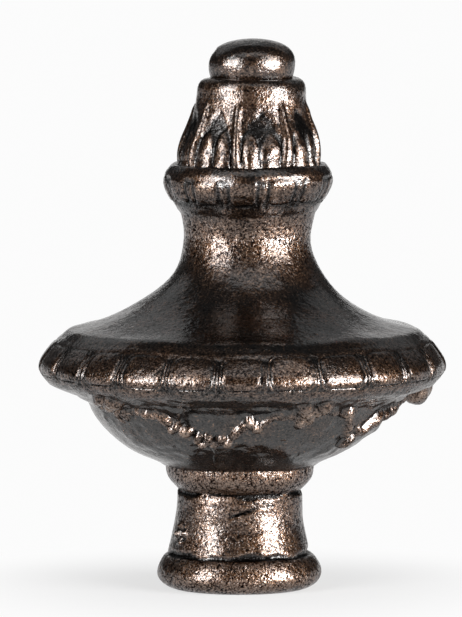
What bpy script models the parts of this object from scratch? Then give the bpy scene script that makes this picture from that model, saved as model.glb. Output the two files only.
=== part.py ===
"""A table lamp's finial of cast metal, with a blind socket in its foot for the lamp's threaded stud.

From the underside up: ring foot, waisted stem, collar, bowl with garlands in relief, wide rim
with a band of egg mouldings, flared neck, ring of egg mouldings, ribbed bell and a flat button.
The foot stands on z = 0, with the socket's axis on Z. The front faces -Y.
"""

import math

import bmesh
import bpy

MM = 0.001
TURN = 2 * math.pi
NAME = "finial"

# Socket for a stud of 6.35 mm (a quarter inch) with 27 turns of thread to the inch
SOCKET_RADIUS = 3.05 * MM
SOCKET_DEPTH = 9.0 * MM
SOCKET_CONE_HEIGHT = 1.7 * MM

# Heights of the stretches, from the underside up: they add up to 50.8 mm, which is two inches
FOOT_RING_HEIGHT = 3.2 * MM
STEM_HEIGHT = 5.9 * MM
COLLAR_HEIGHT = 2.3 * MM
BOWL_HEIGHT = 6.8 * MM
LIP_HEIGHT = 1.3 * MM
BAND_HEIGHT = 3.85 * MM
SHOULDER_HEIGHT = 0.8 * MM
FLARE_HEIGHT = 8.45 * MM
NECK_HEIGHT = 2.2 * MM
RING_HEIGHT = 4.5 * MM
BELL_HEIGHT = 6.7 * MM
BELL_LIP_HEIGHT = 1.25 * MM
BUTTON_HEIGHT = 3.55 * MM

# Radii of the stretches, and steps in from a wider one
FOOT_RING_RADIUS = 7.6 * MM
SEAT_STEP = 1.3 * MM
STEM_FOOT_RADIUS = 6.55 * MM
STEM_RADIUS = 5.83 * MM
COLLAR_RADIUS = 6.87 * MM
COLLAR_STEP = 1.1 * MM
BOWL_FOOT_RADIUS = 7.1 * MM
BOWL_RADIUS = 14.0 * MM
RIM_RADIUS = 18.85 * MM
GROOVE_STEP = 3.2 * MM
BAND_TOP_STEP = 2.0 * MM
SHOULDER_STEP = 3.3 * MM
NECK_RADIUS = 5.83 * MM
RING_FOOT_RADIUS = 6.2 * MM
RING_RADIUS = 7.85 * MM
RING_TOP_STEP = 0.65 * MM
BELL_FOOT_RADIUS = 6.42 * MM
BELL_TOP_RADIUS = 4.94 * MM
BUTTON_NECK_RADIUS = 3.73 * MM
BUTTON_RADIUS = 4.0 * MM

# The casting leans to +X above its collar, by this much for each unit of height
LEAN = 0.032

# Relief, with each pattern's first copy placed by its azimuth
RIM_EGGS = 24
RIM_EGG_RELIEF = 0.36 * MM
RING_EGGS = 13
RING_EGG_FIRST = math.radians(-3.8)
RING_EGG_RELIEF = 0.34 * MM
BELL_RIBS = 8
BELL_RIB_FIRST = math.radians(-10.5)
BELL_RIB_RELIEF = 0.24 * MM
BELL_LOBE_RELIEF = 0.42 * MM
BELL_RECESS_DEPTH = 0.3 * MM
GARLANDS = 5
GARLAND_FIRST_KNOT = math.radians(-48.5)
GARLAND_WIDTH = 1.8 * MM
GARLAND_RELIEF = 0.55 * MM
GARLAND_LUMPS = 8
KNOT_RADIUS = 1.32 * MM

# A knot's ball has its middle this far below a point at this share of the lip's side
KNOT_DROP = 0.45 * MM
KNOT_SHARE = 0.4

# Shares of the bowl's side where a garland hangs lowest and where it is tied up
GARLAND_LOW = 0.57
GARLAND_TIE = 0.93

# Around this azimuth the casting is worn smooth, and the garland fades out over this angle
WORN_AZIMUTH = math.radians(-85)
WORN_ANGLE = math.radians(32)

# Points around a row where nothing is carved, and across each copy of a pattern where it is
PLAIN_COLUMNS = 36
EGG_COLUMNS = [0, 0.22, 0.4, 0.5, 0.6, 0.78]
LOBE_COLUMNS = [0, 0.28, 0.5, 0.72]
GARLAND_COLUMNS = [0, 0.022, 0.045, 0.07, 0.125, 0.1875, 0.25, 0.3125, 0.375, 0.4375]

# Levels, added up from the heights
COLLAR_LEVEL = FOOT_RING_HEIGHT + STEM_HEIGHT
BOWL_LEVEL = COLLAR_LEVEL + COLLAR_HEIGHT
GROOVE_LEVEL = BOWL_LEVEL + BOWL_HEIGHT
BAND_LEVEL = GROOVE_LEVEL + LIP_HEIGHT
SHOULDER_LEVEL = BAND_LEVEL + BAND_HEIGHT
FLARE_LEVEL = SHOULDER_LEVEL + SHOULDER_HEIGHT
NECK_LEVEL = FLARE_LEVEL + FLARE_HEIGHT
RING_LEVEL = NECK_LEVEL + NECK_HEIGHT
BELL_LEVEL = RING_LEVEL + RING_HEIGHT
BELL_LIP_LEVEL = BELL_LEVEL + BELL_HEIGHT
BUTTON_LEVEL = BELL_LIP_LEVEL + BELL_LIP_HEIGHT
TOP_LEVEL = BUTTON_LEVEL + BUTTON_HEIGHT

PATH_STEPS = 160


def mix(low, high, share):
    return low + (high - low) * share


def ease(value, low, high):
    """Runs smoothly from 0 at low to 1 at high."""
    share = min(max((value - low) / (high - low), 0), 1)
    return share * share * (3 - 2 * share)


def dome(value):
    """Half an ellipse: 1 at 0, falling to 0 at 1 and at -1."""
    return math.sqrt(max(1 - value * value, 0))


def path(points):
    """Evenly spaced (radius, height) points along the Bezier curve with these control points."""
    curve = []
    for step in range(4 * PATH_STEPS + 1):
        left = points
        share = step / (4 * PATH_STEPS)
        while len(left) > 1:
            left = [(mix(a[0], b[0], share), mix(a[1], b[1], share)) for a, b in zip(left, left[1:])]
        curve.append(left[0])
    lengths = [0]
    for a, b in zip(curve, curve[1:]):
        lengths.append(lengths[-1] + math.dist(a, b))
    even, near = [], 0
    for step in range(PATH_STEPS + 1):
        goal = lengths[-1] * step / PATH_STEPS
        while near < len(curve) - 2 and lengths[near + 1] < goal:
            near += 1
        share = (goal - lengths[near]) / (lengths[near + 1] - lengths[near])
        a, b = curve[near], curve[near + 1]
        even.append((mix(a[0], b[0], share), mix(a[1], b[1], share)))
    return even


def on_path(points, share):
    """The (radius, height) at a share of a path's length, and the direction out of the solid."""
    place = min(max(share, 0), 1) * PATH_STEPS
    index = min(int(place), PATH_STEPS - 1)
    a, b = points[index], points[index + 1]
    length = math.dist(a, b)
    point = (mix(a[0], b[0], place - index), mix(a[1], b[1], place - index))
    return point, ((b[1] - a[1]) / length, (a[0] - b[0]) / length)


def across_copy(azimuth, first, copies):
    """Where an azimuth lies between two neighbouring copies, from 0 at one to 1 at the next."""
    return ((azimuth - first) * copies / TURN) % 1


def azimuths(copies, shares, first=0.0):
    """The azimuths of one row's points: the same shares of a pitch for each copy."""
    pitch = TURN / copies
    return sorted((first + pitch * (copy + share)) % TURN for copy in range(copies) for share in shares)


def plain():
    return azimuths(PLAIN_COLUMNS, [0])


def foot_ring():
    seat = FOOT_RING_RADIUS - SEAT_STEP
    return path([
        (seat, 0),
        (1.07 * FOOT_RING_RADIUS, 0.18 * FOOT_RING_HEIGHT),
        (1.02 * FOOT_RING_RADIUS, 0.65 * FOOT_RING_HEIGHT),
        (STEM_FOOT_RADIUS + 0.1 * SEAT_STEP, FOOT_RING_HEIGHT),
    ])


def stem():
    return path([
        (STEM_FOOT_RADIUS, FOOT_RING_HEIGHT + 0.02 * STEM_HEIGHT),
        (STEM_RADIUS, FOOT_RING_HEIGHT + 0.47 * STEM_HEIGHT),
        (STEM_RADIUS, FOOT_RING_HEIGHT + 0.7 * STEM_HEIGHT),
        (STEM_RADIUS, COLLAR_LEVEL),
    ])


def collar():
    return path([
        (COLLAR_RADIUS - COLLAR_STEP, COLLAR_LEVEL + 0.05 * COLLAR_HEIGHT),
        (COLLAR_RADIUS, COLLAR_LEVEL + 0.45 * COLLAR_HEIGHT),
        (COLLAR_RADIUS - 0.05 * COLLAR_STEP, COLLAR_LEVEL + 0.6 * COLLAR_HEIGHT),
        (COLLAR_RADIUS, BOWL_LEVEL),
    ])


def bowl():
    """From the collar's top out to the groove under the rim's lip."""
    return path([
        (BOWL_FOOT_RADIUS, BOWL_LEVEL),
        (1.11 * BOWL_FOOT_RADIUS, BOWL_LEVEL + 0.15 * BOWL_HEIGHT),
        (1.15 * BOWL_RADIUS, BOWL_LEVEL + 0.34 * BOWL_HEIGHT),
        (0.955 * BOWL_RADIUS, GROOVE_LEVEL + 0.11 * BOWL_HEIGHT),
        (BOWL_RADIUS, GROOVE_LEVEL - 0.22 * BOWL_HEIGHT),
        (RIM_RADIUS - GROOVE_STEP, GROOVE_LEVEL),
    ])


def lip():
    """From the groove up to the foot of the rim's band."""
    return path([
        (RIM_RADIUS - GROOVE_STEP, GROOVE_LEVEL),
        (RIM_RADIUS - 0.2 * GROOVE_STEP, GROOVE_LEVEL + 0.7 * LIP_HEIGHT),
        (RIM_RADIUS - 0.3 * GROOVE_STEP, GROOVE_LEVEL + 0.6 * LIP_HEIGHT),
        (RIM_RADIUS - 0.16 * GROOVE_STEP, BAND_LEVEL),
    ])


def band():
    return path([
        (RIM_RADIUS - 0.16 * GROOVE_STEP, BAND_LEVEL),
        (RIM_RADIUS + 0.35 * BAND_TOP_STEP, BAND_LEVEL + 0.29 * BAND_HEIGHT),
        (RIM_RADIUS - 0.07 * BAND_TOP_STEP, BAND_LEVEL + 0.58 * BAND_HEIGHT),
        (RIM_RADIUS - BAND_TOP_STEP, SHOULDER_LEVEL),
    ])


def shoulder():
    return path([
        (RIM_RADIUS - 1.05 * BAND_TOP_STEP, SHOULDER_LEVEL + 0.05 * SHOULDER_HEIGHT),
        (RIM_RADIUS - SHOULDER_STEP, FLARE_LEVEL),
    ])


def flare():
    edge = RIM_RADIUS - SHOULDER_STEP
    return path([
        (edge, FLARE_LEVEL),
        (mix(NECK_RADIUS, edge, 0.37), FLARE_LEVEL + 0.15 * FLARE_HEIGHT),
        (NECK_RADIUS, FLARE_LEVEL + 0.57 * FLARE_HEIGHT),
        (NECK_RADIUS, NECK_LEVEL),
    ])


def neck():
    return path([
        (NECK_RADIUS, NECK_LEVEL),
        (NECK_RADIUS, NECK_LEVEL + 0.47 * NECK_HEIGHT),
        (RING_FOOT_RADIUS, RING_LEVEL),
    ])


def ring():
    return path([
        (RING_FOOT_RADIUS, RING_LEVEL),
        (1.035 * RING_RADIUS, RING_LEVEL + 0.5 * RING_HEIGHT),
        (1.045 * RING_RADIUS, RING_LEVEL + 0.75 * RING_HEIGHT),
        (RING_RADIUS - RING_TOP_STEP, BELL_LEVEL),
    ])


def bell():
    return path([
        (BELL_FOOT_RADIUS, BELL_LEVEL),
        (1.08 * BELL_FOOT_RADIUS, BELL_LEVEL + 0.37 * BELL_HEIGHT),
        (BELL_TOP_RADIUS, BELL_LEVEL + 0.54 * BELL_HEIGHT),
        (BELL_TOP_RADIUS, BELL_LIP_LEVEL),
    ])


def bell_lip():
    return path([
        (BELL_TOP_RADIUS, BELL_LIP_LEVEL),
        (BELL_TOP_RADIUS, BUTTON_LEVEL + 0.1 * BELL_LIP_HEIGHT),
        (BUTTON_NECK_RADIUS, BUTTON_LEVEL),
    ])


def button():
    return path([
        (BUTTON_NECK_RADIUS, BUTTON_LEVEL),
        (1.09 * BUTTON_RADIUS, BUTTON_LEVEL + 0.5 * BUTTON_HEIGHT),
        (BUTTON_RADIUS, BUTTON_LEVEL + 0.94 * BUTTON_HEIGHT),
        (0.1 * BUTTON_RADIUS, TOP_LEVEL),
    ])


def egg(across, up, half_width, low, high):
    """How far a point stands up on an egg moulding with round ends, from 0 beside it to 1."""
    half_height = (high - low) / 2
    from_end = half_height - abs(up - low - half_height)
    width = half_width * dome(min(max(1 - from_end / (0.6 * half_height), 0), 1))
    if width <= abs(across):
        return 0
    return 0.75 * ease(width - abs(across), 0, 0.1) + 0.25 * dome(across / width)


def rim_relief(azimuth, share):
    across = across_copy(azimuth, 0, RIM_EGGS)
    across = min(across, 1 - across)
    raised = egg(across, share, 0.46, 0.05, 1.4)
    return RIM_EGG_RELIEF * (raised - 1) * ease(share, 0, 0.1)


def ring_relief(azimuth, share):
    across = across_copy(azimuth, RING_EGG_FIRST, RING_EGGS)
    across = min(across, 1 - across)
    raised = egg(across, share, 0.45, 0.08, 0.93)
    return RING_EGG_RELIEF * (raised - 1) * ease(share, 0, 0.15) * ease(share, 1, 0.9)


def bell_relief(azimuth, share):
    """Tall ribs, with three short round lobes and a sunk arch above them in each bay."""
    bay = across_copy(azimuth, BELL_RIB_FIRST, BELL_RIBS)
    from_rib = min(bay, 1 - bay)
    recess = -BELL_RECESS_DEPTH
    recess *= ease(0.4 * dome(min(max((share - 0.44) / 0.26, 0), 1)) - abs(bay - 0.5), 0, 0.08)
    recess *= ease(share, 0.42, 0.48)
    if from_rib < 0.11:
        return recess + BELL_RIB_RELIEF * dome(from_rib / 0.11) * ease(share, 0.96, 0.8)
    across = 2 * abs((4 * bay - 0.5) % 1 - 0.5)
    groove = dome(min(max((share - 0.3) / 0.16, 0), 1)) * ease(share, -0.02, 0.04)
    return recess + BELL_LOBE_RELIEF * (dome(across) - 1) * groove


def garland_centre(azimuth):
    """The share of the bowl's side where a garland runs, and how far it is from its middle."""
    from_low = abs(2 * across_copy(azimuth, GARLAND_FIRST_KNOT, GARLANDS) - 1)
    return mix(GARLAND_LOW, GARLAND_TIE, from_low ** 1.15), from_low


def garland_relief(azimuth, across):
    """The garland's height above the bowl, from -1 at its lower edge to 1 at its upper one."""
    _, from_low = garland_centre(azimuth)
    lump = 1 - 0.35 * math.sin(math.pi * GARLAND_LUMPS * from_low / 2) ** 2
    from_worn = abs((azimuth - WORN_AZIMUTH + math.pi) % TURN - math.pi)
    return GARLAND_RELIEF * lump * dome(across) * ease(from_worn, 0.5 * WORN_ANGLE, WORN_ANGLE)


def knot_relief(azimuth, point, out):
    """How far a point moves outward to lie on the ball that ties up two garlands, just below the lip."""
    middle, _ = on_path(lip(), KNOT_SHARE)
    across = across_copy(azimuth, GARLAND_FIRST_KNOT, GARLANDS)
    aside = point[0] * min(across, 1 - across) * TURN / GARLANDS
    offset = (point[0] - middle[0], point[1] - middle[1] + KNOT_DROP)
    inward = offset[0] * out[0] + offset[1] * out[1]
    reach = KNOT_RADIUS ** 2 - aside ** 2 - math.hypot(*offset) ** 2 + inward ** 2
    return math.sqrt(reach) - inward if reach > 0 else 0


def turned(side, shares, columns, relief=None):
    """Rows of (azimuth, radius, height) points across one stretch of the outer side."""
    rows = []
    for share in shares:
        (radius, height), out = on_path(side, share)
        row = []
        for azimuth in columns:
            raised = relief(azimuth, share) if relief else 0
            row.append((azimuth, radius + raised * out[0], height + raised * out[1]))
        rows.append(row)
    return rows


def garland_rows():
    """Rows on the bowl and lip, which follow the garlands' lower edge, crest and upper edge."""
    columns = azimuths(
        GARLANDS,
        GARLAND_COLUMNS + [0.5] + [1 - share for share in GARLAND_COLUMNS[1:]],
        GARLAND_FIRST_KNOT,
    )
    side = bowl()
    side_length = PATH_STEPS * math.dist(side[0], side[1])
    half_width = GARLAND_WIDTH / 2 / side_length
    below = [(0, share) for share in (0, 0.35, 0.7)]
    on_garland = [(1, across) for across in (-1, -0.55, 0, 0.55, 1)]
    rows = []
    for part, share in below + on_garland + [(2, 0.6), (3, 0.05), (3, 0.3), (3, 0.55)]:
        row = []
        for azimuth in columns:
            centre, _ = garland_centre(azimuth)
            if part == 0:
                point, out = on_path(side, share * (centre - half_width))
            elif part == 1:
                point, out = on_path(side, centre + share * half_width)
            elif part == 2:
                point, out = on_path(side, mix(centre + half_width, 1, share))
            else:
                point, out = on_path(lip(), share)
            raised = garland_relief(azimuth, share) if part == 1 else 0
            raised = max(raised, knot_relief(azimuth, point, out))
            row.append((azimuth, point[0] + raised * out[0], point[1] + raised * out[1]))
        rows.append(row)
    return rows


def all_rows():
    """All rows of points, from the socket's blind end out and up to the button's top."""
    eggs_of_rim = azimuths(RIM_EGGS, EGG_COLUMNS)
    eggs_of_ring = azimuths(RING_EGGS, EGG_COLUMNS, RING_EGG_FIRST)
    lobes = azimuths(4 * BELL_RIBS, LOBE_COLUMNS, BELL_RIB_FIRST)
    seat = FOOT_RING_RADIUS - SEAT_STEP
    rows = []
    for radius, height in ((SOCKET_RADIUS, SOCKET_DEPTH), (SOCKET_RADIUS, 0), (seat, 0)):
        rows.append([(azimuth, radius, height) for azimuth in plain()])
    rows += turned(foot_ring(), (0.15, 0.35, 0.55, 0.78, 1), plain())
    rows += turned(stem(), (0, 0.3, 0.6, 1), plain())
    rows += turned(collar(), (0, 0.3, 0.6, 1), plain())
    rows += garland_rows()
    rows += turned(lip(), (0.85,), plain())
    rows += turned(band(), (0.03, 0.15, 0.32, 0.6, 0.85, 0.98), eggs_of_rim, rim_relief)
    rows += turned(shoulder(), (0, 1), plain())
    rows += turned(flare(), (0.14, 0.3, 0.46, 0.61, 0.75, 0.88), plain())
    rows += turned(neck(), (0, 0.6), plain())
    rows += turned(ring(), (0, 0.16, 0.38, 0.62, 0.82, 0.98), eggs_of_ring, ring_relief)
    rows += turned(bell(), (0, 0.05, 0.3, 0.42, 0.48, 0.62, 0.8, 1), lobes, bell_relief)
    rows += turned(bell_lip(), (0.35, 0.7, 1), plain())
    rows += turned(button(), (0.15, 0.35, 0.55, 0.75, 0.92), plain())
    return rows


def place(azimuth, radius, height):
    """A point of the leaning casting: azimuth 0 is the front, -Y, and it grows towards +X."""
    lean = LEAN * max(height - BOWL_LEVEL, 0)
    return radius * math.sin(azimuth) + lean, -radius * math.cos(azimuth), height


def stitch(mesh, lower, upper):
    """Joins two rows of (azimuth, vertex) pairs, which may differ in number, in order of azimuth."""

    def at(row, index):
        turns, index = divmod(index, len(row))
        return row[index][0] + TURN * turns, row[index][1]

    low, high = 0, 0
    while low < len(lower) or high < len(upper):
        next_low, after_low = at(lower, low + 1)
        next_high, after_high = at(upper, high + 1)
        step_low = low < len(lower) and (high == len(upper) or next_low <= next_high)
        step_high = high < len(upper) and (low == len(lower) or next_high <= next_low)
        corners = [at(lower, low)[1]]
        if step_low:
            corners.append(after_low)
        if step_high:
            corners.append(after_high)
        mesh.faces.new(corners + [at(upper, high)[1]])
        low += step_low
        high += step_high


def close(mesh, row, point):
    """Closes an end of the loft with a fan of triangles."""
    centre = mesh.verts.new(point)
    for (_, a), (_, b) in zip(row, row[1:] + row[:1]):
        mesh.faces.new([a, b, centre])


def bronze():
    material = bpy.data.materials.new("antique_bronze")
    material.use_nodes = True
    shader = material.node_tree.nodes["Principled BSDF"]
    shader.inputs["Base Color"].default_value = (0.12, 0.075, 0.05, 1)
    shader.inputs["Metallic"].default_value = 0.9
    shader.inputs["Roughness"].default_value = 0.38
    return material


def finial():
    """One closed casting, lofted through rows that have as many points as their carving needs."""
    mesh = bmesh.new()
    rows = []
    for points in all_rows():
        rows.append([(azimuth, mesh.verts.new(place(azimuth, r, z))) for azimuth, r, z in points])
    for lower, upper in zip(rows, rows[1:]):
        stitch(mesh, lower, upper)
    close(mesh, rows[0], place(0, 0, SOCKET_DEPTH + SOCKET_CONE_HEIGHT))
    close(mesh, rows[-1], place(0, 0, TOP_LEVEL))
    bmesh.ops.recalc_face_normals(mesh, faces=mesh.faces)
    bmesh.ops.triangulate(mesh, faces=mesh.faces)
    data = bpy.data.meshes.new(NAME)
    mesh.to_mesh(data)
    mesh.free()
    data.materials.append(bronze())
    data.shade_smooth()
    data.set_sharp_from_angle(angle=math.radians(40))
    return bpy.data.objects.new(NAME, data)


def main():
    for thing in list(bpy.data.objects):
        bpy.data.objects.remove(thing, do_unlink=True)
    parts = bpy.data.collections.new("lamp_finial")
    bpy.context.scene.collection.children.link(parts)
    parts.objects.link(finial())


main()
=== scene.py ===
"""The looks of the lamp finial: its casting in fine detail, in antique dark bronze, on a pale floor.

The casting is one mesh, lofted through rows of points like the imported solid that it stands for, with
the ornament, the thread of its socket and the unevenness of a rough casting worked into the surface.
"""

import math

import bpy
import numpy as np
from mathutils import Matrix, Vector, noise


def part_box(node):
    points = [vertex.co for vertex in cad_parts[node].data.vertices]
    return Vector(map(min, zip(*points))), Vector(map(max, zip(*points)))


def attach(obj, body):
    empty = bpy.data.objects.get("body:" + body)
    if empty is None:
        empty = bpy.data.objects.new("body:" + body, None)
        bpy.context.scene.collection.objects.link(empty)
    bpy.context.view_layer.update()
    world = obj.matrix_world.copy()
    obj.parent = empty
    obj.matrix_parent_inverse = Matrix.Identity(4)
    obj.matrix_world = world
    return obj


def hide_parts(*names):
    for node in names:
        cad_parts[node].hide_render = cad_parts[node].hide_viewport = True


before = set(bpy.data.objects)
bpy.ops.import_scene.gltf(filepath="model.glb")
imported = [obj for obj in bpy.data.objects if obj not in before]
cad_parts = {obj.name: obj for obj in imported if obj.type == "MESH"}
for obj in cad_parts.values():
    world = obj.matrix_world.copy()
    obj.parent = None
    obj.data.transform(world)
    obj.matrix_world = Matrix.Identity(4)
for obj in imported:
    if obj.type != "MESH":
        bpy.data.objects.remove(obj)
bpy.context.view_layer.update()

NODE = "finial"
CAD_LOW, CAD_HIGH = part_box(NODE)

# Lengths are in millimetres, apart from the floor's fade, the camera's clipping and those in the
# material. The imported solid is 50.8 of them high, which says how long each is
HEIGHT = 50.8
MM = (CAD_HIGH.z - CAD_LOW.z) / HEIGHT
TURN = 2 * math.pi

# Heights of the stretches, from the underside up
FOOT_RING_HEIGHT = 3.2
STEM_HEIGHT = 5.9
COLLAR_HEIGHT = 2.3
BOWL_HEIGHT = 6.8
LIP_HEIGHT = 1.3
BAND_HEIGHT = 3.85
SHOULDER_HEIGHT = 0.8
FLARE_HEIGHT = 8.45
NECK_HEIGHT = 2.2
RING_HEIGHT = 4.5
BELL_HEIGHT = 6.7
BELL_LIP_HEIGHT = 1.25

# Radii of the stretches, and steps in from a wider one
FOOT_RING_RADIUS = 7.6
SEAT_STEP = 1.3
STEM_FOOT_RADIUS = 6.55
STEM_RADIUS = 5.83
COLLAR_RADIUS = 6.87
COLLAR_STEP = 1.1
BOWL_FOOT_RADIUS = 7.1
BOWL_RADIUS = 14.0
RIM_RADIUS = 18.85
GROOVE_STEP = 3.2
BAND_TOP_STEP = 2.0
SHOULDER_STEP = 3.3
NECK_RADIUS = 5.83
RING_FOOT_RADIUS = 6.2
RING_RADIUS = 7.85
RING_TOP_STEP = 0.65
BELL_FOOT_RADIUS = 6.42
BELL_TOP_RADIUS = 4.94
BUTTON_NECK_RADIUS = 3.73
BUTTON_RADIUS = 4.0

# The socket's bore is as wide as the root of a quarter-inch thread. Its grooves, 27 turns to the inch,
# are cut outward from there, as deep as root and crest are apart
THREAD_PITCH = 25.4 / 27
THREAD_ROOT = 3.15
THREAD_CREST = 2.78
SOCKET_DEPTH = 9.0
SOCKET_CONE_HEIGHT = 1.7
SOCKET_CHAMFER = 0.35

# Depth of the ragged grooves above the foot's ring and under the collar
GROOVE_DEPTH = 0.22

# The casting leans to +X above its collar, by this much for each unit of height. The upper part of its
# flare stands further out: by this much at this level, and by nothing this far above and below it
LEAN = 0.032
FLARE_SHIFT, FLARE_SHIFT_LEVEL, FLARE_SHIFT_REACH = 0.25, 29.3, 2.6

# The rough casting's waviness: how far it moves the surface, and the size of its lumps
SWELL, SWELL_GRAIN = 0.09, 6
RIPPLE, RIPPLE_GRAIN = 0.04, 2.2
LIFT, LIFT_GRAIN = 0.1, 5

# Between these radii the rim's edge begins: it is less wavy, and drawn in by this much
RIM_EDGE = (17.5, 18.6)
RIM_DRAWN_IN = 0.08

# Levels, added up from the heights
COLLAR_LEVEL = FOOT_RING_HEIGHT + STEM_HEIGHT
BOWL_LEVEL = COLLAR_LEVEL + COLLAR_HEIGHT
GROOVE_LEVEL = BOWL_LEVEL + BOWL_HEIGHT
BAND_LEVEL = GROOVE_LEVEL + LIP_HEIGHT
SHOULDER_LEVEL = BAND_LEVEL + BAND_HEIGHT
FLARE_LEVEL = SHOULDER_LEVEL + SHOULDER_HEIGHT
NECK_LEVEL = FLARE_LEVEL + FLARE_HEIGHT
RING_LEVEL = NECK_LEVEL + NECK_HEIGHT
BELL_LEVEL = RING_LEVEL + RING_HEIGHT
BELL_LIP_LEVEL = BELL_LEVEL + BELL_HEIGHT
BUTTON_LEVEL = BELL_LIP_LEVEL + BELL_LIP_HEIGHT
BUTTON_HEIGHT = HEIGHT - BUTTON_LEVEL

# Eggs around the rim and the ring: how many, how far the gaps between them are sunk, half their width,
# and half their height as a share of the moulding's profile. One of the ring's is at this azimuth
RIM_EGGS = 24
RIM_EGG_RELIEF = 0.14
RIM_EGG_HALF_WIDTH, RIM_EGG_HALF_HEIGHT = 1.95, 0.37
RING_EGGS = 13
RING_EGG_FIRST = -3.8
RING_EGG_RELIEF = 0.24
RING_EGG_HALF_WIDTH, RING_EGG_HALF_HEIGHT = 1.4, 0.27

# Ribs around the bell, one of them at this azimuth. The bay between two has a sunk arch above two
# lobes, placed in shares of the bay's width and of the bell's profile
BELL_RIBS = 8
BELL_RIB_FIRST = -10.5
BELL_RIB_RELIEF = 0.25
BELL_RECESS_DEPTH = 0.165
ARCH_HALF_WIDTH, ARCH_FOOT, ARCH_HEIGHT = 0.46, 0.36, 0.42
BELL_LOBE_RELIEF = 0.3
LOBE_ASIDE, LOBE_HALF_WIDTH, LOBE_SHOULDER, LOBE_HEIGHT = 0.19, 0.18, 0.18, 0.3

# How far a bay is sunk around its lobes, and how much less at the very foot of the bell
BAY_DEPTH = 0.22
BELL_FOOT_RELIEF = 0.16

# Garlands hang between knots, which are this many degrees apart: where the knots are, and how wide
# and how raised the garlands' cord is
GARLAND_SPAN = 72
FIRST_KNOT = -48.5
KNOT_RADIUS = 1.3
KNOT_LEVEL = 18.1
ROPE_WIDTH = 0.9
ROPE_RELIEF = 0.2

# Around this azimuth the bowl is worn smooth: up to half this angle away, and whole again from all of
# it on. Where it is worn, its patina is rubbed by only this share of what it would be
WORN_AZIMUTH = -85
WORN_ANGLE = 32
WORN_RUBBED = 0.2

# The scuff on the left of the stem: its middle, half its width and height, and its raised, rough relief
SCUFF_AZIMUTH, SCUFF_LEVEL = -62, 5.3
SCUFF_HALF_WIDTH, SCUFF_HALF_HEIGHT = 1.2, 1.15
SCUFF_RELIEF, SCUFF_ROUGHNESS = 0.15, 0.45

# The crack across the front of the stem: it rises by this much over this angle, from this azimuth and
# level, and fades away from this middle
CRACK_DEPTH = 0.3
CRACK_AZIMUTH, CRACK_LEVEL = -5.8, 7.24
CRACK_RISE, CRACK_ANGLE = 0.54, 17.1
CRACK_MIDDLE = 2.8

# How much larger and higher the beads and leaves are made than the list of them says
LEAF_SIZE = 1.4
LEAF_RELIEF = 1.4

# Each knot's size, and how far below the knots' level it hangs
KNOTS = [(0.6, 0.0), (0.6, 0.1), (1.15, -0.25), (1.0, 0.2), (1.0, 0.2)]

# How far the patina is rubbed through to the copper under it, as (height, share) points
RUBBED = [
    (0, 0.85), (2.8, 0.85), (3.4, 0.6), (8.6, 0.6), (9.2, 0.8), (11.3, 0.85), (11.9, 0.0), (17.5, 0.06),
    (19.0, 0.3), (20.2, 0.6), (22.8, 0.45), (23.6, 0.15), (28.5, 0.15), (31.0, 0.65), (33.0, 0.85),
    (35.3, 0.35), (37.5, 0.6), (39.0, 0.2), (39.6, 0.5), (45.5, 0.6), (46.8, 0.4), (50.8, 0.2),
]

# Ornament that stands up is rubbed by at least this share, which begins at the first of these reliefs
# and is whole at the second
RAISED_RUBBED = 0.6
RAISED_RELIEF = (0.12, 0.35)

# Hollows fill with black patina and painted shade from the first of these reliefs down to the second
SHADED_HOLLOW_RELIEF = (-0.03, -0.24)

# Beads and leaves begin to show bright metal, worn through and partly a painted highlight, at the first of
# these reliefs, and are bright at the second. Knots stand up further, and the bright metal ends again
# between the next two
BARE_AND_GLINT_RELIEF = (0.5, 0.8)
DARK_RELIEF = (1.0, 1.3)

# The metal's colours: the patina, the rubbed patina, the copper flecks and the dark specks in it, the
# net's lines, the black of hollows, which is patina and painted shade, and the bright metal of beads and
# leaves, which is partly a painted highlight
PATINA = (0.018, 0.0155, 0.0145)
RUBBED_PATINA = (0.078, 0.031, 0.009)
COPPER = (0.17, 0.104, 0.068)
SPECK = (0.003, 0.0024, 0.002)
LINE = (0.003, 0.0022, 0.0018)
PATINA_AND_SHADE_IN_HOLLOWS = (0.006, 0.005, 0.0045)
BRIGHT_METAL_AND_GLINT = (0.19, 0.13, 0.095)

# Each garland's line, as (degrees from its left knot, height) points: the two kinds take turns
DEEP_LINE = [
    (0, 18.0), (5, 17.4), (12, 17.5), (18.5, 17.0), (22, 16.2), (27, 15.9), (32.6, 14.9),
    (37, 14.6), (43, 14.9), (48, 16.0), (52, 16.7), (60, 17.6), (66, 17.7), (72, 18.0),
]
STEEP_LINE = [
    (0, 18.0), (6, 17.9), (12, 17.6), (17.6, 17.4), (21, 16.5), (23, 15.8), (28, 14.7),
    (33, 15.1), (39.5, 16.1), (46, 16.6), (54, 16.9), (61, 17.4), (68, 17.9), (72, 18.0),
]

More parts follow.
